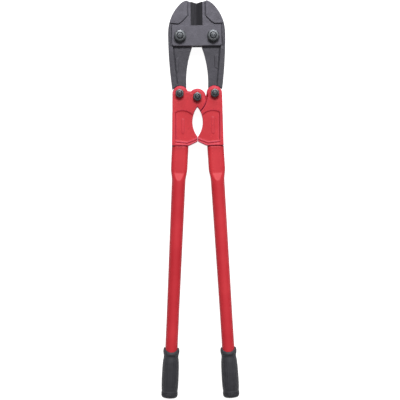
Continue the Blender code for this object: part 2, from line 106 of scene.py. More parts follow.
def merged_copy(node, piece_name):
    """A welded copy of a CAD node's mesh, as a new piece."""
    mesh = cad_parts[node].data.copy()
    mesh.materials.clear()
    piece = bpy.data.objects.new(piece_name, mesh)
    bpy.context.scene.collection.objects.link(piece)
    shape = bmesh.new()
    shape.from_mesh(mesh)
    bmesh.ops.remove_doubles(shape, verts=shape.verts, dist=0.00001)
    shape.to_mesh(mesh)
    shape.free()
    return piece


def even_skin(piece, grain):
    """Replaces the mesh by an even skin of small quads, for shaping like wax."""
    remesh = piece.modifiers.new("skin", "REMESH")
    remesh.mode = "VOXEL"
    remesh.voxel_size = grain
    remesh.adaptivity = 0.0
    bpy.context.view_layer.update()
    evaluated = piece.evaluated_get(bpy.context.evaluated_depsgraph_get())
    skin = bpy.data.meshes.new_from_object(evaluated)
    piece.modifiers.clear()
    piece.data = skin


def read_points(piece):
    flat = np.zeros(len(piece.data.vertices) * 3)
    piece.data.vertices.foreach_get("co", flat)
    return flat.reshape(-1, 3)


def write_points(piece, points):
    piece.data.vertices.foreach_set("co", points.ravel())
    piece.data.update()


def soften(piece, rounds, crisp=lambda x, y: False):
    """Rounds the edges outside the crisp places, and keeps how far each point moved in or out,
    which the finishes turn into lighter edges (rubbed wear and painted highlight) and painted shade
    in creases.
    """
    before = read_points(piece)
    shape = bmesh.new()
    shape.from_mesh(piece.data)
    soft = [vert for vert in shape.verts if not crisp(vert.co.x, vert.co.y)]
    for _ in range(rounds):
        bmesh.ops.smooth_vert(shape, verts=soft, factor=0.5, use_axis_x=True,
                              use_axis_y=True, use_axis_z=True)
    shape.to_mesh(piece.data)
    shape.free()
    after = read_points(piece)
    normals = np.zeros(len(after) * 3)
    piece.data.vertices.foreach_get("normal", normals)
    inward = ((before - after) * normals.reshape(-1, 3)).sum(axis=1)
    share = np.clip(inward / wear_and_light_depth, -1.0, 1.0)
    layer = piece.data.attributes.new("wear_and_painted_light", "FLOAT", "POINT")
    layer.data.foreach_set("value", share.astype(np.float32))


def uneven(piece, height, spread, keep):
    """Moves the skin in and out a little, as a die or a mould leaves it. keep(x, y) is 0 to 1."""
    points = read_points(piece)
    normals = np.zeros(len(points) * 3)
    piece.data.vertices.foreach_get("normal", normals)
    normals = normals.reshape(-1, 3)
    for index, point in enumerate(points):
        swell = noise.noise(Vector(point) / spread) * height * keep(point[0], point[1])
        points[index] += normals[index] * min(swell, 0.0)
    write_points(piece, points)


def ease(value):
    value = min(max(value, 0.0), 1.0)
    return value * value * (3.0 - 2.0 * value)


def sharpen_blade(piece, side):
    """Draws the cutting edge out to a line on the middle plane, with a flat slope on each face."""
    tip = Vector((blade_gap, 0.0))
    run = Vector((edge_slope_width - blade_gap, edge_land + edge_slope_rise))
    points = read_points(piece)
    for point in points:
        across, up, level = point[0] * side, point[1], point[2] - middle_z
        beside = across > edge_slope_width - face_band or abs(level) > blade_half_thick + 0.0001
        if up < edge_foot_y or beside:
            continue
        place = Vector((across, abs(level))) - tip
        share = max(place.dot(run) / run.length_squared, 0.0)
        if (place - run * share).length > edge_catch:
            continue
        share = max(share - edge_blunt_share, 0.0) / (1.0 - edge_blunt_share)
        point[0] = (tip.x + run.x * share) * side
        point[2] = middle_z + math.copysign(run.y * share, level)
        brow = edge_apex_y + edge_brow_slope * across
        if up > brow - edge_brow_band:
            point[1] = brow
    write_points(piece, points)


def groove(piece, side, start, end, half_width, depth, level):
    """Sinks a round-bottomed line between two places into both faces at a level."""
    one, other = Vector((start[0] * side, start[1])), Vector((end[0] * side, end[1]))
    run = other - one
    points = read_points(piece)
    for point in points:
        off = point[2] - middle_z
        if abs(abs(off) - level) > face_band:
            continue
        from_one = Vector((point[0], point[1])) - one
        share = min(max(from_one.dot(run) / run.length_squared, 0.0), 1.0)
        away = (from_one - run * share).length / half_width
        if away < 1.0:
            point[2] -= math.copysign(depth * (1.0 - away * away), off)
    write_points(piece, points)


def raise_patch(piece, outline_at, height, level):
    """Raises a blank cartouche on both faces. outline_at(x, y) is the depth inside its border."""
    points = read_points(piece)
    for point in points:
        depth = outline_at(point[0], point[1])
        off = point[2] - middle_z
        if depth > -border_half_width and abs(abs(off) - level) < face_band:
            share = ease((depth + border_half_width) / (2 * border_half_width))
            point[2] += math.copysign(height * share, off)
    write_points(piece, points)


def rounded_bar(centre, half_width, half_length, lean):
    """Depth inside the border of a bar with round ends, leaning by an angle."""
    def inside(x, y):
        along = (x - centre[0]) * math.sin(lean) + (y - centre[1]) * math.cos(lean)
        across = (x - centre[0]) * math.cos(lean) - (y - centre[1]) * math.sin(lean)
        beyond = max(abs(along) - (half_length - half_width), 0.0)
        return half_width - math.hypot(across, beyond)
    return inside


def smooth_faces(piece, flat=lambda x, y: False):
    """Smooth shading all over, except in the flat places."""
    for face in piece.data.polygons:
        face.use_smooth = not flat(face.center.x, face.center.y)
    piece.data.update()


def new_finish(name):
    """An empty node material with its shader, and a maker for more nodes."""
    finish = bpy.data.materials.new(name)
    finish.use_nodes = True
    tree = finish.node_tree
    shader = tree.nodes["Principled BSDF"]

    def add(kind, **values):
        node = tree.nodes.new(kind)
        for key, value in values.items():
            if key in node.inputs:
                node.inputs[key].default_value = value
            else:
                setattr(node, key, value)
        return node
    return finish, tree.links.new, shader, add


def tone_ramp(add, stops):
    ramp = add("ShaderNodeValToRGB")
    while len(ramp.color_ramp.elements) < len(stops):
        ramp.color_ramp.elements.new(0.5)
    for element, (place, tone) in zip(ramp.color_ramp.elements, stops):
        element.position = place
        element.color = (*tone, 1.0)
    return ramp


def spread(add, link, value, least, most, start=0.0, end=1.0, kind="LINEAR"):
    """Turns a value between start and end into one between least and most."""
    node = add("ShaderNodeMapRange", interpolation_type=kind)
    for name, number in (("From Min", start), ("From Max", end), ("To Min", least),
                         ("To Max", most)):
        node.inputs[name].default_value = number
    link(value, node.inputs["Value"])
    return node.outputs["Result"]


def multiplied(add, link, one, other, factor=1.0):
    node = add("ShaderNodeMix", data_type="RGBA", blend_type="MULTIPLY")
    node.inputs["Factor"].default_value = factor
    link(one, node.inputs["A"])
    link(other, node.inputs["B"])
    return node.outputs["Result"]


def relief(add, link, shader, *layers):
    """Bump layers from the lowest up, each with its height, strength and distance."""
    under = None
    for height, strength, distance in layers:
        bump = add("ShaderNodeBump", Strength=strength, Distance=distance)
        link(height, bump.inputs["Height"])
        if under:
            link(under, bump.inputs["Normal"])
        under = bump.outputs["Normal"]
    link(under, shader.inputs["Normal"])


def forged_scale_finish():
    """Blackened forging: mottled blue-grey scale, fine pits, darker on the levers and outer rails,
    and lighter edges that are partly rubbed wear and partly a painted highlight.
    """
    finish, link, shader, add = new_finish("forged_scale")
    place = add("ShaderNodeTexCoord")
    clouds = add("ShaderNodeTexNoise", Scale=70.0, Detail=7.0, Roughness=0.62)
    grit = add("ShaderNodeTexNoise", Scale=900.0, Detail=5.0, Roughness=0.7)
    pits = add("ShaderNodeTexVoronoi", Scale=420.0)
    for texture in (clouds, grit, pits):
        link(place.outputs["Object"], texture.inputs["Vector"])
    scale_tone = tone_ramp(add, [(0.30, (0.084, 0.080, 0.098)), (0.52, (0.108, 0.103, 0.127)),
                                 (0.72, (0.138, 0.131, 0.158))])
    link(clouds.outputs["Fac"], scale_tone.inputs["Fac"])
    speck = tone_ramp(add, [(0.36, (0.62, 0.62, 0.64)), (0.55, (1.0, 1.0, 1.0)),
                            (0.75, (1.14, 1.14, 1.16))])
    link(grit.outputs["Fac"], speck.inputs["Fac"])
    speckled = multiplied(add, link, scale_tone.outputs["Color"], speck.outputs["Color"], 0.7)
    along = add("ShaderNodeSeparateXYZ")
    link(place.outputs["Object"], along.inputs["Vector"])
    sideways = add("ShaderNodeMath", operation="ABSOLUTE")
    link(along.outputs["X"], sideways.inputs[0])
    # Colour made darker on the levers and on the outer rails.
    lever = spread(add, link, along.outputs["Y"], 0.60, 1.0, 0.334, 0.352, "SMOOTHSTEP")
    rail = spread(add, link, sideways.outputs["Value"], 1.0, 0.62, 0.0575, 0.0605, "SMOOTHSTEP")
    levers_and_rails_darker = add("ShaderNodeMath", operation="MINIMUM")
    link(lever, levers_and_rails_darker.inputs[0])
    link(rail, levers_and_rails_darker.inputs[1])
    tone_darker_on_levers_and_rails = multiplied(add, link, speckled, levers_and_rails_darker.outputs["Value"])
    # Lighter on the rounded edges: partly rubbed wear, partly a painted highlight.
    wear_and_painted_light = add("ShaderNodeAttribute", attribute_name="wear_and_painted_light")
    edge_wear_and_painted_light = add("ShaderNodeMix", data_type="RGBA")
    edge_wear_and_painted_light.inputs["B"].default_value = (0.25, 0.245, 0.27, 1.0)
    link(spread(add, link, wear_and_painted_light.outputs["Fac"], 0.0, 0.75, 0.08, 0.7), edge_wear_and_painted_light.inputs["Factor"])
    link(tone_darker_on_levers_and_rails, edge_wear_and_painted_light.inputs["A"])
    link(edge_wear_and_painted_light.outputs["Result"], shader.inputs["Base Color"])
    link(spread(add, link, clouds.outputs["Fac"], 0.42, 0.66), shader.inputs["Roughness"])
    shader.inputs["Metallic"].default_value = 0.35
    relief(add, link, shader, (pits.outputs["Distance"], 0.35, 0.0004),
           (grit.outputs["Fac"], 0.45, 0.0003))
    return finish


def ground_edge_finish():
    """Cutting slopes: ground after blackening, with marks along the edge, and coloured dark as
    painted shade for the dark that these inward-facing slopes reflect.
    """
    finish, link, shader, add = new_finish("ground_edge")
    place = add("ShaderNodeTexCoord")
    stretch = add("ShaderNodeMapping")
    stretch.inputs["Scale"].default_value = (1400.0, 24.0, 1400.0)
    link(place.outputs["Object"], stretch.inputs["Vector"])
    marks = add("ShaderNodeTexNoise", Scale=1.0, Detail=4.0, Roughness=0.6)
    link(stretch.outputs["Vector"], marks.inputs["Vector"])
    # Painted shade: dark tones standing in for the dark reflected by the ground slopes.
    tone = tone_ramp(add, [(0.30, (0.032, 0.031, 0.037)), (0.55, (0.052, 0.051, 0.059)),
                           (0.75, (0.088, 0.086, 0.096))])
    link(marks.outputs["Fac"], tone.inputs["Fac"])
    link(tone.outputs["Color"], shader.inputs["Base Color"])
    shader.inputs["Metallic"].default_value = 0.5
    link(spread(add, link, marks.outputs["Fac"], 0.30, 0.50), shader.inputs["Roughness"])
    relief(add, link, shader, (marks.outputs["Fac"], 0.4, 0.0002))
    return finish


forged_scale = forged_scale_finish()
ground_edge = ground_edge_finish()
cartouches = {"left": rounded_bar((-0.0455, 0.3050), 0.0034, 0.0165, math.radians(4)),
              "right": rounded_bar((0.0445, 0.3120), 0.0042, 0.0150, math.radians(-2))}


def grind_slopes(piece, side):
    """Gives the cutting slopes their own finish."""
    for face in piece.data.polygons:
        centre = face.center
        across = centre.x * side
        sloped = abs(face.normal.x) > 0.3 and abs(face.normal.z) > 0.3
        low = abs(centre.z - middle_z) < blade_half_thick
        if across < edge_slope_width + 0.0003 and centre.y > edge_foot_y and sloped and low:
            face.material_index = 1


def at_blade(x, y):
    return y > edge_foot_y - 0.0010 and abs(x) < edge_slope_width + 0.0006


for word, side in sides.items():
    forging = merged_copy(word + "_jaw", word + "_jaw_forging")
    even_skin(forging, forging_grain)
    for start, end, depth in zip(nose_corners, nose_corners[1:], nose_step_depths):
        groove(forging, side, start, end, nose_step_half_width, depth, bed_level)
    for start, end in zip(rail_foot, rail_foot[1:]):
        groove(forging, side, start, end, rail_foot_half_width, rail_foot_depth, web_level)
    raise_patch(forging, cartouches[word], cartouche_height, web_level)
    soften(forging, forging_softness, at_blade)
    uneven(forging, forging_unevenness, forging_spread,
           lambda x, y: 0.0 if at_blade(x, y) else 1.0)
    sharpen_blade(forging, side)
    smooth_faces(forging, at_blade)
    forging.data.materials.append(forged_scale)
    forging.data.materials.append(ground_edge)
    grind_slopes(forging, side)
    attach(forging, word + "_jaw")
    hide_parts(word + "_jaw")


# ---------------------------------------------------------------- straps
# Two flat steel straps hold the jaws at a fixed distance. They are sheared from hot-rolled bar,
# with their edges broken by a file, and blackened with the jaws.

strap_edge_round = 0.0009
strap_flat_area = 0.00002


def break_edges(piece, width, angle=50):
    """Files every real corner of a sheared or sawn piece to a small round."""
    shape = bmesh.new()
    shape.from_mesh(piece.data)
    bmesh.ops.dissolve_limit(shape, angle_limit=math.radians(1), verts=shape.verts,
                             edges=shape.edges)
    corners = [edge for edge in shape.edges
               if len(edge.link_faces) == 2 and edge.calc_face_angle() > math.radians(angle)]
    bmesh.ops.bevel(shape, geom=corners, offset=width, affect="EDGES", segments=3, profile=0.5,
                    material=-1, clamp_overlap=True)
    shape.to_mesh(piece.data)
    shape.free()


def sharp_turned(piece, angle=35):
    """Smooth shading that stays crisp over every real corner."""
    piece.data.shade_smooth()
    piece.data.set_sharp_from_angle(angle=math.radians(angle))


for word in ("front", "rear"):
    strap = merged_copy(word + "_strap", word + "_steel_strap")
    break_edges(strap, strap_edge_round)
    sharp_turned(strap)
    for face in strap.data.polygons:
        face.use_smooth = face.area < strap_flat_area
    strap.data.materials.append(forged_scale)
    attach(strap, "head")
    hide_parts(word + "_strap")


# ---------------------------------------------------------------- handle castings
# Two malleable iron castings that join the tubes to the jaws. Each has a fork for the jaw's tail,
# a lug of half its thickness at the middle bolt and a sunk panel on each face, all powder coated.

casting_grain = 0.0006
casting_softness = 4
casting_unevenness = 0.00025
casting_spread = 0.014
cheek_level = 0.0130
lobe_radius = 0.0178
lobe_inset = 0.0013
lug_radius = 0.0192
outline_reach = 0.0008
bolt_seat_radius = 0.0085
centre_seat_radius = 0.0115

# Each rounding is its width and then its depth. On the lobes and the lug it grows to the top.
plain_rim = (0.0016, 0.0012)
saddle_rim = (0.0040, 0.0030)
panel_end_rim = (0.0026, 0.0018)
lens_rim = (0.0012, 0.0012)
deepest_rim = 0.0042
round_rim = (0.0014, 0.0012)
round_rim_growth = (0.0052, 0.0038)

panel_level = 0.0112
panel_foot = ((0.0493, 0.1365), (0.0493, 0.1950))
panel_foot_half_width = 0.0013
panel_foot_depth = 0.0008
panel_bar_height = 0.00045


def rim_width(side, x, y):
    """How wide and how deep the top edge is rounded at a place on the outline."""
    across = x * side
    at_lobe = Vector((across, y)) - Vector((link_pivot.x - lobe_inset, link_pivot.y))
    at_lug = Vector((across, y - centre_pivot.y))
    for at_round, radius, start, run in ((at_lobe, lobe_radius, 0.004, 0.010),
                                         (at_lug, lug_radius, 0.010, 0.016)):
        if abs(at_round.length - radius) < outline_reach and at_round.y > -start:
            share = ease((at_round.y + start) / run)
            return tuple(least + growth * share
                         for least, growth in zip(round_rim, round_rim_growth))
    if y > 0.2300 and across < 0.0240:
        return saddle_rim
    if 0.1240 < y < 0.1400 and across < 0.0495:
        return panel_end_rim
    if 0.1400 < y < 0.2100 and 0.0 < across < 0.0140:
        return lens_rim
    return plain_rim


def rim_samples(piece, side):
    """Points along the sharp edges of both cheek faces, with the rounding each one gets."""
    shape = bmesh.new()
    shape.from_mesh(piece.data)
    places = []
    for edge in shape.edges:
        one, other = (vert.co for vert in edge.verts)
        on_cheek = all(abs(abs(point.z - middle_z) - cheek_level) < 0.0001
                       for point in (one, other))
        if not on_cheek or edge.calc_face_angle(0.0) < math.radians(40):
            continue
        steps = max(1, round((one - other).length / casting_grain))
        for step in range(steps + 1):
            point = one.lerp(other, step / steps)
            from_link = math.hypot(point.x - link_pivot.x * side, point.y - link_pivot.y)
            from_centre = math.hypot(point.x, point.y - centre_pivot.y)
            if from_link < bolt_seat_radius or from_centre < centre_seat_radius:
                continue
            places.append((point.copy(), rim_width(side, point.x, point.y)))
    shape.free()
    return places


def round_rims(piece, places):
    """Lowers both cheek faces towards their edges, as a quarter of an ellipse."""
    tree = kdtree.KDTree(len(places))
    for index, (point, _) in enumerate(places):
        tree.insert((point.x, point.y, math.copysign(0.02, point.z - middle_z)), index)
    tree.balance()
    points = read_points(piece)
    for point in points:
        level = point[2] - middle_z
        if abs(level) < cheek_level - deepest_rim:
            continue
        _, index, away = tree.find((point[0], point[1], math.copysign(0.02, level)))
        width, depth = places[index][1]
        if away >= width:
            continue
        fall = depth * (1.0 - math.sqrt(1.0 - (1.0 - away / width) ** 2))
        point[2] = middle_z + math.copysign(min(abs(level), cheek_level - fall), level)
    write_points(piece, points)
    shape = bmesh.new()
    shape.from_mesh(piece.data)
    bmesh.ops.remove_doubles(shape, verts=shape.verts, dist=0.00012)
    shape.to_mesh(piece.data)
    shape.free()


def red_coat_finish():
    """Red powder coat: half glossy, with orange peel, a painted pink highlight on the rounded edges
    and painted shade in the creases.
    """
    finish, link, shader, add = new_finish("red_powder_coat")
    place = add("ShaderNodeTexCoord")
    flow = add("ShaderNodeTexNoise", Scale=14.0, Detail=3.0, Roughness=0.5)
    peel = add("ShaderNodeTexNoise", Scale=420.0, Detail=2.0, Roughness=0.45)
    dust = add("ShaderNodeTexNoise", Scale=1500.0, Detail=2.0, Roughness=0.5)
    for texture in (flow, peel, dust):
        link(place.outputs["Object"], texture.inputs["Vector"])
    tone = tone_ramp(add, [(0.30, (0.560, 0.020, 0.032)), (0.55, (0.630, 0.028, 0.042)),
                           (0.78, (0.690, 0.040, 0.052))])
    link(flow.outputs["Fac"], tone.inputs["Fac"])
    # Painted light from how far the softening moved each point: a pink highlight on the rounded
    # edges, shade in the creases.
    edge_wear_and_painted_light = add("ShaderNodeAttribute", attribute_name="wear_and_painted_light")
    painted_edge_light_share = spread(add, link, edge_wear_and_painted_light.outputs["Fac"], 0.0, 1.0, -0.35, 0.6)
    painted_edge_highlight_and_crease_shade = tone_ramp(add, [(0.0, (0.62, 0.42, 0.42)), (0.37, (1.0, 1.0, 1.0)),
                            (1.0, (0.88, 2.80, 3.90))])
    link(painted_edge_light_share, painted_edge_highlight_and_crease_shade.inputs["Fac"])
    link(multiplied(add, link, tone.outputs["Color"], painted_edge_highlight_and_crease_shade.outputs["Color"]),
         shader.inputs["Base Color"])
    link(spread(add, link, dust.outputs["Fac"], 0.44, 0.58), shader.inputs["Roughness"])
    shader.inputs["Specular IOR Level"].default_value = 0.30
    shader.inputs["Coat Weight"].default_value = 0.06
    shader.inputs["Coat Roughness"].default_value = 0.36
    relief(add, link, shader, (peel.outputs["Fac"], 0.16, 0.0006),
           (dust.outputs["Fac"], 0.10, 0.0001))
    return finish


red_coat = red_coat_finish()
panel_bars = {"left": rounded_bar((-0.0330, 0.1660), 0.0030, 0.0165, 0.0),
              "right": rounded_bar((0.0345, 0.1680), 0.0032, 0.0190, 0.0)}

for word, side in sides.items():
    casting = merged_copy(word + "_handle_head", word + "_handle_casting")
    rims = rim_samples(casting, side)
    even_skin(casting, casting_grain)
    round_rims(casting, rims)
    groove(casting, side, *panel_foot, panel_foot_half_width, panel_foot_depth, panel_level)
    raise_patch(casting, panel_bars[word], panel_bar_height, panel_level)
    soften(casting, casting_softness)
    uneven(casting, casting_unevenness, casting_spread, lambda x, y: 1.0)
    smooth_faces(casting)
    casting.data.materials.append(red_coat)
    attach(casting, word + "_handle")
    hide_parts(word + "_handle_head")


# ---------------------------------------------------------------- tubes
# Drawn steel tubes, pressed flat at the mouth to grip the casting's tongue, then round and
# tapering to the grip. They are coated with the castings, so the seam at the mouth is painted over.

tube_splay = math.radians(3.045)
tube_length = 0.5640
tube_wall = 0.0025
mouth_half_width = 0.01875
mouth_half_thick = 0.0095
round_radius = 0.0155
lower_radius = 0.0140
narrow_start = 0.0500
round_start = 0.0575
round_run = 0.0220
press_end = 0.0600
swell_end = 0.0790
swell_blend = 0.25
taper_end = 0.3720
tube_sides = 96


def ring_loft(name, stations, count, place):
    """A skin drawn through rings. A station gives radius and height for an angle round Z."""
    mesh = bpy.data.meshes.new(name)
    shape = bmesh.new()
    ring = bmesh.ops.create_circle(shape, segments=count, radius=1.0)["verts"]
    edges = list(shape.edges)
    for index, station in enumerate(stations):
        if index:
            grown = bmesh.ops.extrude_edge_only(shape, edges=edges)["geom"]
            ring = [item for item in grown if isinstance(item, bmesh.types.BMVert)]
            fresh = set(ring)
            edges = [item for item in grown if isinstance(item, bmesh.types.BMEdge)
                     and all(vert in fresh for vert in item.verts)]
        for vert in ring:
            turn = math.atan2(vert.co.y, vert.co.x)
            radius, height = station(turn)
            vert.co = (radius * math.cos(turn), radius * math.sin(turn), height)
    bmesh.ops.remove_doubles(shape, verts=shape.verts, dist=0.0000015)
    bmesh.ops.recalc_face_normals(shape, faces=shape.faces)
    bmesh.ops.transform(shape, verts=shape.verts, matrix=place)
    shape.to_mesh(mesh)
    shape.free()
    piece = bpy.data.objects.new(name, mesh)
    bpy.context.scene.collection.objects.link(piece)
    return piece


def pressed_section(half_width, corner, ceiling, down, slope=0.0):
    """Ring of a pressed tube: flat faces with round ends, cut off level at the ceiling."""
    def station(turn):
        flat = half_width - corner
        across, up = abs(math.cos(turn)), max(abs(math.sin(turn)), 0.000001)
        radius = flat * across + math.sqrt(max(corner ** 2 - (flat * up) ** 2, 0.0))
        if radius * across < flat:
            radius = corner / up
        radius = min(radius, ceiling / up)
        return radius, down + radius * math.cos(turn) * slope
    return station


def tube_stations(side):
    """Outside from the mouth down, then the bore back up to the mouth."""
    slope = math.tan(side * tube_splay)
    plan = [(0.0, 0.0005), (0.0004, 0.0)]
    plan += [(0.004 + 0.004 * step, 0.0) for step in range(13)]
    plan += [(0.0560 + 0.0010 * step, 0.0) for step in range(29)]
    plan += [(0.0860 + 0.0110 * step, 0.0) for step in range(26)]
    plan += [(taper_end + 0.0240 * step, 0.0) for step in range(8)]
    plan += [(tube_length - 0.0004, 0.0), (tube_length, 0.0004)]
    outside = [tube_ring(down, trim, slope if down < 0.001 else 0.0) for down, trim in plan]
    bore = [tube_ring(down, tube_wall, slope if down < 0.001 else 0.0)
            for down, _ in reversed(plan) if down != 0.0004]
    return outside + bore + outside[:1]


def tube_ring(down, inset, slope):
    """The tube's section at a distance down from the mouth, moved in by the inset."""
    narrowing = ease((down - narrow_start) / (swell_end - narrow_start))
    half_width = mouth_half_width + (round_radius - mouth_half_width) * narrowing
    rise = round_radius - mouth_half_thick
    corner = mouth_half_thick + rise * ease((down - round_start) / round_run)
    ramp = min(max((down - press_end) / (swell_end - press_end), 0.0), 1.0)
    lag = swell_blend / 2
    ramp = (ramp * ramp / (2 * swell_blend) if ramp < swell_blend else ramp - lag) / (1.0 - lag)
    ceiling = mouth_half_thick + rise * ramp
    if down > swell_end:
        share = min((down - swell_end) / (taper_end - swell_end), 1.0)
        half_width = corner = round_radius + (lower_radius - round_radius) * share
        ceiling = round_radius
    corner = min(corner, half_width)
    return pressed_section(half_width - inset, corner - inset, ceiling - inset, down, slope)


def down_the_tube(side, down=0.0):
    """Matrix that stands a loft's height along the handle, from the mouth of the tube."""
    return (Matrix.Translation((tube_top.x * side, tube_top.y, middle_z))
            @ Matrix.Rotation(side * tube_splay, 4, "Z")
            @ Matrix.Translation((0.0, -down, 0.0))
            @ Matrix.Rotation(math.radians(90), 4, "X"))


# The mouth of a tube is level with the top of its box, and in the middle of it.
tube_top = Vector((0.0400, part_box("right_tube")[1].y))

for word, side in sides.items():
    tube = ring_loft(word + "_handle_tube", tube_stations(side), tube_sides, down_the_tube(side))
    smooth_faces(tube)
    tube.data.materials.append(red_coat)
    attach(tube, word + "_handle")
    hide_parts(word + "_tube")


# ---------------------------------------------------------------- grips
# Moulded rubber sleeves with a closed, domed end, pushed over the tubes. The mouth has an ear on
# each side and is scooped front and back, the body has fine flutes and the end a knurled band.

grip_length = 0.1155
grip_sides = 144
grip_flutes = 24
grip_rim_ends = 0.0210
scoop_depth = 0.0100
grip_bore = 0.01425
grip_floor = 0.1105
grip_outline = [(0.0000, 0.0154), (0.0006, 0.0163), (0.0018, 0.0172), (0.0040, 0.0180),
                (0.0070, 0.0184), (0.0100, 0.0184), (0.0130, 0.0180), (0.0160, 0.0172),
                (0.0185, 0.0167), (0.0210, 0.0166), (0.0240, 0.0169), (0.0280, 0.0176),
                (0.0340, 0.0183), (0.0450, 0.0188), (0.0600, 0.0191), (0.0730, 0.0192),
                (0.0850, 0.0190), (0.0930, 0.0186), (0.0975, 0.0181), (0.0990, 0.0180),
                (0.1005, 0.0183), (0.1015, 0.0186), (0.1075, 0.0186), (0.1095, 0.0182),
                (0.1115, 0.0174), (0.1132, 0.0158), (0.1144, 0.0132), (0.1151, 0.0098),
                (0.1154, 0.0050), (0.1155, 0.0000)]
flute_depth = 0.00050
knurl_start = 0.1008
knurl_end = 0.1090
knurl_rows = 18
knurl_pitch = 0.00275
knurl_depth = 0.00100
rim_hollow = 0.0006
grip_end_clearance = 0.0004


def outline_radius(down):
    """Radius of the plain sleeve, on a smooth line through the outline's points."""
    for (low, one), (high, other) in zip(grip_outline, grip_outline[1:]):
        if down <= high:
            share = (down - low) / (high - low)
            return one + (other - one) * (ease(share) + share) / 2
    return 0.0


def grip_station(down, radius=None):
    """Ring of the sleeve, scooped near the mouth, fluted on the body and knurled at the end."""
    def station(turn):
        out = outline_radius(down) if radius is None else radius
        if radius is None and 0.0 < out:
            fade = ease((down - 0.0290) / 0.0120) * ease((0.0960 - down) / 0.0060)
            out -= flute_depth * fade * (0.5 - 0.5 * math.cos(grip_flutes * turn)) ** 2
            if knurl_start < down < knurl_end:
                band = math.sin(math.pi * (down - knurl_start) / (knurl_end - knurl_start))
                twist = (down - knurl_start) / knurl_pitch * math.pi
                lattice = min(abs(math.sin(knurl_rows * turn + twist)),
                              abs(math.sin(knurl_rows * turn - twist)))
                out -= knurl_depth * min(band * 2.0, 1.0) * (1.0 - min(lattice * 2.4, 1.0))
            out -= rim_hollow * math.exp(-((down - 0.0050) / 0.004) ** 2) * abs(math.sin(turn))
        scoop = scoop_depth * (1.0 - abs(math.cos(turn)) ** 2.6) ** 0.75
        start = scoop * max(1.0 - down / grip_rim_ends, 0.0)
        return max(out, 0.0000004), down + start
    return station


def grip_stations():
    downs = sorted({place for place, _ in grip_outline}
                   | {0.0020 * step for step in range(1, 49)}
                   | {knurl_start + 0.00055 * step for step in range(16)})
    outside = [grip_station(down) for down in downs]
    inside = [grip_station(grip_floor, 0.0), grip_station(grip_floor, grip_bore)]
    inside += [grip_station(down, grip_bore) for down in (0.06, 0.021, 0.014, 0.007, 0.0008)]
    inside.append(grip_station(0.0, grip_bore + 0.0005))
    return outside, inside


def rubber_finish():
    """Black moulded rubber: matt, finely grained, greyer in soft patches."""
    finish, link, shader, add = new_finish("black_moulded_rubber")
    place = add("ShaderNodeTexCoord")
    clouds = add("ShaderNodeTexNoise", Scale=55.0, Detail=5.0, Roughness=0.6)
    grain = add("ShaderNodeTexNoise", Scale=1600.0, Detail=3.0, Roughness=0.6)
    for texture in (clouds, grain):
        link(place.outputs["Object"], texture.inputs["Vector"])
    tone = tone_ramp(add, [(0.30, (0.024, 0.024, 0.030)), (0.60, (0.033, 0.033, 0.041)),
                           (0.80, (0.047, 0.047, 0.056))])
    link(clouds.outputs["Fac"], tone.inputs["Fac"])
    link(tone.outputs["Color"], shader.inputs["Base Color"])
    link(spread(add, link, clouds.outputs["Fac"], 0.52, 0.74), shader.inputs["Roughness"])
    relief(add, link, shader, (grain.outputs["Fac"], 0.30, 0.00015))
    return finish


rubber = rubber_finish()
grip_begins = (tube_top.y - frame_box[0].y) / math.cos(tube_splay) - grip_length
grip_begins -= grip_end_clearance

for word, side in sides.items():
    outside, inside = grip_stations()
    place = down_the_tube(side, grip_begins)
    grip = ring_loft(word + "_rubber_grip", outside, grip_sides, place)
    lining = ring_loft(word + "_grip_lining", inside + outside[:1], grip_sides, place)
    joined = bmesh.new()
    joined.from_mesh(grip.data)
    joined.from_mesh(lining.data)
    bmesh.ops.remove_doubles(joined, verts=joined.verts, dist=0.000002)
    bmesh.ops.recalc_face_normals(joined, faces=joined.faces)
    joined.to_mesh(grip.data)
    joined.free()
    bpy.data.objects.remove(lining, do_unlink=True)
    smooth_faces(grip)
    grip.data.materials.append(rubber)
    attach(grip, word + "_handle")
    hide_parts(word + "_grip")


# ---------------------------------------------------------------- jaw bolts
# Shoulder bolts turned from hexagon bar, with a chamfered head behind the rear strap, a ground
# journal through straps and jaw, and a rolled thread that stands a little out of the nut.

jaw_bolt = {"flats": 0.0240, "head": 0.0090, "journal": 0.0090, "thread": 0.0065,
            "pitch": 0.00150}
bolt_sides = 72
chamfer_slope = math.tan(math.radians(30))
nothing = 0.0000004


def round_ring(radius, height):
    return lambda turn: (max(radius, nothing), height)


def hexagon_ring(flats, height, turned=0.0):
    """Ring on a hexagon. turned +1 or -1 cuts the corners back as a lathe chamfer does."""
    def station(turn):
        sixth = math.radians(60)
        off = (turn + sixth / 2) % sixth - sixth / 2
        radius = flats / 2 / math.cos(off)
        back = max(radius - flats * 0.492, 0.0) * chamfer_slope
        return radius, height - turned * back
    return station


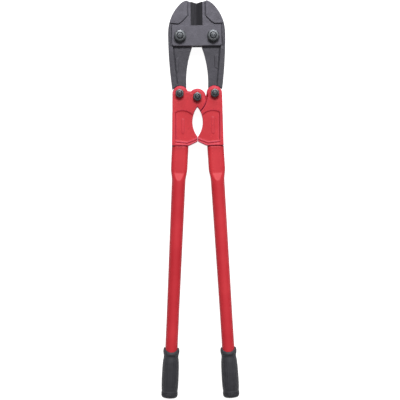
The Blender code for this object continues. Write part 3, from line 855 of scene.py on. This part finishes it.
def bolt_stations(sizes, low, shoulder, top):
    """Head from its underside, washer face, journal, then thread crests and roots to the end."""
    flats, head_top = sizes["flats"], low + sizes["head"]
    stations = [round_ring(0.0, low + 0.0004), round_ring(flats * 0.30, low + 0.0004),
                round_ring(flats * 0.33, low), round_ring(flats * 0.47, low),
                hexagon_ring(flats, low + 0.0002, -1.0), hexagon_ring(flats, head_top - 0.0006),
                hexagon_ring(flats - 0.0004, head_top - 0.0003),
                round_ring(flats * 0.47, head_top - 0.0003), round_ring(flats * 0.465, head_top),
                round_ring(sizes["journal"] + 0.0003, head_top),
                round_ring(sizes["journal"], head_top + 0.0004),
                round_ring(sizes["journal"], shoulder - 0.0003),
                round_ring(sizes["journal"] - 0.0003, shoulder),
                round_ring(sizes["thread"] - 0.0008, shoulder)]
    height, pitch = shoulder + 0.0010, sizes["pitch"]
    while height + pitch < top - 0.0006:
        stations += [round_ring(sizes["thread"] - 0.0008, height),
                     round_ring(sizes["thread"], height + pitch * 0.42),
                     round_ring(sizes["thread"], height + pitch * 0.58)]
        height += pitch
    nub = sizes["thread"] * 0.26
    stations += [round_ring(sizes["thread"] - 0.0008, height),
                 round_ring(sizes["thread"], top - 0.0011),
                 round_ring(sizes["thread"] - 0.0003, top - 0.0007),
                 round_ring(sizes["thread"] - 0.0012, top - 0.0002),
                 round_ring(sizes["thread"] * 0.56, top - 0.0002),
                 round_ring(sizes["thread"] * 0.50, top - 0.0008),
                 round_ring(nub + 0.0007, top - 0.0008), round_ring(nub, top - 0.0001),
                 round_ring(nub * 0.6, top), round_ring(0.0, top)]
    return stations


def black_bolt_finish():
    """Heat-blackened bolt steel: dark grey, smooth, mottled, with fine turning marks."""
    finish, link, shader, add = new_finish("blackened_bolt_steel")
    place = add("ShaderNodeTexCoord")
    clouds = add("ShaderNodeTexNoise", Scale=240.0, Detail=5.0, Roughness=0.6)
    rubs = add("ShaderNodeTexNoise", Scale=1300.0, Detail=4.0, Roughness=0.7)
    for texture in (clouds, rubs):
        link(place.outputs["Object"], texture.inputs["Vector"])
    tone = tone_ramp(add, [(0.30, (0.070, 0.075, 0.083)), (0.55, (0.104, 0.110, 0.118)),
                           (0.75, (0.185, 0.188, 0.190))])
    link(clouds.outputs["Fac"], tone.inputs["Fac"])
    link(tone.outputs["Color"], shader.inputs["Base Color"])
    shader.inputs["Metallic"].default_value = 0.9
    link(spread(add, link, rubs.outputs["Fac"], 0.30, 0.52), shader.inputs["Roughness"])
    relief(add, link, shader, (rubs.outputs["Fac"], 0.25, 0.00015))
    return finish


def fasten(piece, body, node):
    """Gives a fastener its shading and finish, hangs it on its body and hides the CAD node that it
    stands for.
    """
    sharp_turned(piece)
    piece.data.materials.append(black_bolt)
    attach(piece, body)
    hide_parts(node)


def place_of(node):
    """Where a fastener's axis stands, and its lowest and highest level."""
    low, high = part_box(node)
    return (low.x + high.x) / 2, (low.y + high.y) / 2, low.z, high.z


black_bolt = black_bolt_finish()
strap_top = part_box("front_strap")[1].z

for word, side in sides.items():
    x, y, low, top = place_of(word + "_jaw_bolt")
    shaft = ring_loft(word + "_jaw_shoulder_bolt", bolt_stations(jaw_bolt, low, strap_top, top),
                      bolt_sides, Matrix.Translation((x, y, 0.0)))
    fasten(shaft, "head", word + "_jaw_bolt")


# ---------------------------------------------------------------- jaw nuts
# Hexagon nuts with a lathe chamfer on both faces, drawn down on tab washers. They are blackened
# with the bolts, and the spanner has rubbed their corners.

def nut_stations(sizes, low, high):
    """Outside from the lower chamfer to the upper one, then down the countersunk bore."""
    flats, bore = sizes["flats"], sizes["thread"] + 0.0001
    return [round_ring(flats * 0.47, low), hexagon_ring(flats, low + 0.0002, -1.0),
            hexagon_ring(flats, (low + high) / 2), hexagon_ring(flats, high - 0.0002, 1.0),
            round_ring(flats * 0.485, high - 0.0001), round_ring(flats * 0.475, high),
            round_ring(bore + 0.0011, high), round_ring(bore, high - 0.0011),
            round_ring(bore, low + 0.0009), round_ring(bore + 0.0009, low),
            round_ring(flats * 0.47, low)]


for word, side in sides.items():
    x, y, low, high = place_of(word + "_jaw_nut")
    nut = ring_loft(word + "_jaw_hex_nut", nut_stations(jaw_bolt, low, high), bolt_sides,
                    Matrix.Translation((x, y, 0.0)))
    fasten(nut, "head", word + "_jaw_nut")


# ---------------------------------------------------------------- tab washers and plain washers
# Stamped rings under the nuts and the bolt heads. After tightening, the ears of a tab washer are
# knocked up against the nut's flats, so that it can't work loose.

jaw_washer_radius = 0.0140
washer_play = 0.0003
ear_reach = 0.0138
ear_half_width = 0.0035
ear_height = 0.0065
ear_angles = {"left": (60, 120), "right": (0,)}


def washer_stations(outer, bore, low, high):
    """A stamped ring: its upper edge is rounded by the die, its lower edge is nearly square."""
    return [round_ring(outer - 0.00015, low), round_ring(outer, low + 0.00015),
            round_ring(outer, high - 0.0005), round_ring(outer - 0.00015, high - 0.00018),
            round_ring(outer - 0.0005, high), round_ring(bore + 0.0002, high),
            round_ring(bore, high - 0.0002), round_ring(bore, low + 0.0002),
            round_ring(bore + 0.0002, low), round_ring(outer - 0.00015, low)]


def washer_ear(angle, inner, outer, low, place):
    """One ear, thick as the washer, bent up at the rim with its free corners rounded."""
    shape = bmesh.new()
    bmesh.ops.create_cube(shape, size=1.0)
    bmesh.ops.scale(shape, verts=shape.verts, vec=(outer - inner, ear_half_width * 2, ear_height))
    bmesh.ops.translate(shape, verts=shape.verts,
                        vec=((outer + inner) / 2, 0.0, low + ear_height / 2))
    bend = [edge for edge in shape.edges
            if all(vert.co.z < low + 0.001 and vert.co.x > inner + 0.0005 for vert in edge.verts)]
    free = [edge for edge in shape.edges if edge not in bend
            and (edge.verts[0].co.z + edge.verts[1].co.z) / 2 > low + 0.001]
    bmesh.ops.bevel(shape, geom=bend, offset=0.0012, affect="EDGES", segments=4, profile=0.5,
                    material=-1)
    corners = [edge for edge in free if edge.is_valid]
    bmesh.ops.bevel(shape, geom=corners, offset=0.00035, affect="EDGES", segments=2, profile=0.5,
                    material=-1)
    bmesh.ops.transform(shape, verts=shape.verts,
                        matrix=place @ Matrix.Rotation(math.radians(angle), 4, "Z"))
    mesh = bpy.data.meshes.new("ear")
    shape.to_mesh(mesh)
    shape.free()
    return mesh


for word, side in sides.items():
    node = word + "_tab_washer"
    x, y, low, _ = place_of(word + "_jaw_nut")
    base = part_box(node)[0].z
    place = Matrix.Translation((x, y, 0.0))
    ring = ring_loft(word + "_tabbed_washer",
                     washer_stations(jaw_washer_radius, jaw_bolt["thread"] + washer_play, base,
                                     low - washer_play),
                     bolt_sides, place)
    with_ears = bmesh.new()
    with_ears.from_mesh(ring.data)
    for angle in ear_angles[word]:
        ear = washer_ear(angle, jaw_bolt["flats"] / 2 + washer_play, ear_reach, base + 0.0002,
                         place)
        with_ears.from_mesh(ear)
    with_ears.to_mesh(ring.data)
    with_ears.free()
    fasten(ring, "head", node)
    node = word + "_jaw_washer"
    x, y, low, high = place_of(node)
    under_head = ring_loft(word + "_head_washer",
                           washer_stations(jaw_washer_radius, jaw_bolt["journal"] + washer_play,
                                           low, high),
                           bolt_sides, Matrix.Translation((x, y, 0.0)))
    fasten(under_head, "head", node)


# ---------------------------------------------------------------- link bolts and centre bolt
# Three smaller shoulder bolts. One joins each jaw's tail to its casting, and the third is the
# middle hinge of the two castings. Each has a nut on a spring washer in front.

link_bolt = {"flats": 0.0180, "head": 0.0070, "journal": 0.0065, "thread": 0.0050,
             "pitch": 0.00125}
spring_section = (0.0036, 0.0021)
spring_middle = 0.0070
spring_turn = math.radians(348)


def spring_washer(name, x, y, low, high):
    """A coil of square wire, one turn long, pressed nearly flat, with a slanted cut."""
    mesh = bpy.data.meshes.new(name)
    shape = bmesh.new()
    bmesh.ops.create_circle(shape, segments=4, radius=0.5, cap_ends=True)
    bmesh.ops.rotate(shape, verts=shape.verts, matrix=Matrix.Rotation(math.radians(45), 3, "Z"))
    bmesh.ops.scale(shape, verts=shape.verts,
                    vec=(spring_section[0] * math.sqrt(2), (high - low) * math.sqrt(2), 1.0))
    bmesh.ops.bevel(shape, geom=shape.verts, offset=0.0003, affect="VERTICES", segments=2,
                    profile=0.5, material=-1)
    bmesh.ops.rotate(shape, verts=shape.verts, matrix=Matrix.Rotation(math.radians(90), 3, "X"))
    bmesh.ops.translate(shape, verts=shape.verts, vec=(spring_middle, 0.0, (low + high) / 2))
    bmesh.ops.spin(shape, geom=shape.verts[:] + shape.edges[:] + shape.faces[:], cent=(0, 0, 0),
                   axis=(0, 0, 1), angle=spring_turn, steps=58)
    bmesh.ops.recalc_face_normals(shape, faces=shape.faces)
    place = Matrix.Translation((x, y, 0.0)) @ Matrix.Rotation(math.radians(96), 4, "Z")
    bmesh.ops.transform(shape, verts=shape.verts, matrix=place)
    shape.to_mesh(mesh)
    shape.free()
    piece = bpy.data.objects.new(name, mesh)
    bpy.context.scene.collection.objects.link(piece)
    return piece


shoulder = middle_z + cheek_level

for stem, word, body in (("left_link", "left", "left_handle"),
                         ("right_link", "right", "right_handle"),
                         ("centre", "centre", "left_handle")):
    x, y, low, top = place_of(stem + "_bolt")
    place = Matrix.Translation((x, y, 0.0))
    shaft = ring_loft(word + "_link_shoulder_bolt", bolt_stations(link_bolt, low, shoulder, top),
                      bolt_sides, place)
    fasten(shaft, body, stem + "_bolt")
    _, _, low, high = place_of(stem + "_nut")
    nut = ring_loft(word + "_link_hex_nut", nut_stations(link_bolt, low, high), bolt_sides, place)
    fasten(nut, body, stem + "_nut")
    _, _, low, high = place_of(stem + "_spring_washer")
    spring = spring_washer(word + "_link_spring_ring", x, y, low, high)
    fasten(spring, body, stem + "_spring_washer")
    left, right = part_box(stem + "_washer")
    sizes = (right.x - left.x) / 2, link_bolt["journal"] + washer_play, left.z, right.z
    plain = ring_loft(word + "_link_head_washer", washer_stations(*sizes), bolt_sides, place)
    fasten(plain, body, stem + "_washer")


# ---------------------------------------------------------------- bench, light and camera
# The tool lies on a wide white sheet that glows a little, so that it stays evenly white. Two soft
# lights stand past the jaws and a weak one on the right, and the camera looks straight down.

sheet_size = 60.0
view_width = 0.9068
camera_height = 2.75
camera_roll = math.radians(-0.58)


def white_sheet_finish():
    """Matt paper with faint fibres, lit from within."""
    finish, link, shader, add = new_finish("white_sheet")
    place = add("ShaderNodeTexCoord")
    fibres = add("ShaderNodeTexNoise", Scale=600.0, Detail=3.0)
    link(place.outputs["Object"], fibres.inputs["Vector"])
    tone = tone_ramp(add, [(0.3, (0.52, 0.52, 0.52)), (0.7, (0.54, 0.54, 0.54))])
    link(fibres.outputs["Fac"], tone.inputs["Fac"])
    link(tone.outputs["Color"], shader.inputs["Base Color"])
    shader.inputs["Roughness"].default_value = 0.9
    shader.inputs["Specular IOR Level"].default_value = 0.1
    shader.inputs["Emission Color"].default_value = (1.0, 1.0, 1.0, 1.0)
    shader.inputs["Emission Strength"].default_value = 0.93
    return finish


def soft_light(name, size, power, place, aim):
    lamp = bpy.data.lights.new(name, "AREA")
    lamp.shape = "RECTANGLE"
    lamp.size, lamp.size_y = size
    lamp.energy = power
    holder = bpy.data.objects.new(name, lamp)
    holder.location = place
    holder.rotation_euler = (Vector(aim) - Vector(place)).to_track_quat("-Z", "Y").to_euler()
    bpy.context.scene.collection.objects.link(holder)


sheet_mesh = bpy.data.meshes.new("bench_sheet")
sheet_shape = bmesh.new()
bmesh.ops.create_grid(sheet_shape, x_segments=8, y_segments=8, size=sheet_size / 2)
bmesh.ops.translate(sheet_shape, verts=sheet_shape.verts, vec=(0.0, 0.0, -0.0002))
sheet_shape.to_mesh(sheet_mesh)
sheet_shape.free()
sheet = bpy.data.objects.new("bench_sheet", sheet_mesh)
sheet_mesh.materials.append(white_sheet_finish())
bpy.context.scene.collection.objects.link(sheet)
sheet.visible_diffuse = False

soft_light("light_past_the_jaws", (2.6, 1.5), 236.0, (0.22, 2.95, 4.70), (0.0, 0.1, 0.0))
soft_light("light_low_past_the_jaws", (2.2, 0.7), 40.0, (0.20, 2.9, 0.9), (0.0, 0.2, 0.0))
soft_light("light_on_the_right", (1.2, 1.2), 7.0, (2.2, 0.6, 2.2), (0.0, 0.0, 0.0))

room = bpy.data.worlds.new("white_room")
room.use_nodes = True
room.node_tree.nodes["Background"].inputs["Color"].default_value = (1.0, 1.0, 1.0, 1.0)
room.node_tree.nodes["Background"].inputs["Strength"].default_value = 0.20
bpy.context.scene.world = room
bpy.context.scene.view_settings.view_transform = "Standard"

lens = bpy.data.cameras.new("camera_above")
lens.sensor_width = 36.0
lens.lens = lens.sensor_width * camera_height / view_width
lens.clip_end = 100.0
camera = bpy.data.objects.new("camera_above", lens)
camera.location = (0.0037, -0.0011, middle_z + camera_height)
camera.rotation_euler = (0.0, 0.0, camera_roll)
bpy.context.scene.collection.objects.link(camera)
bpy.context.scene.camera = camera
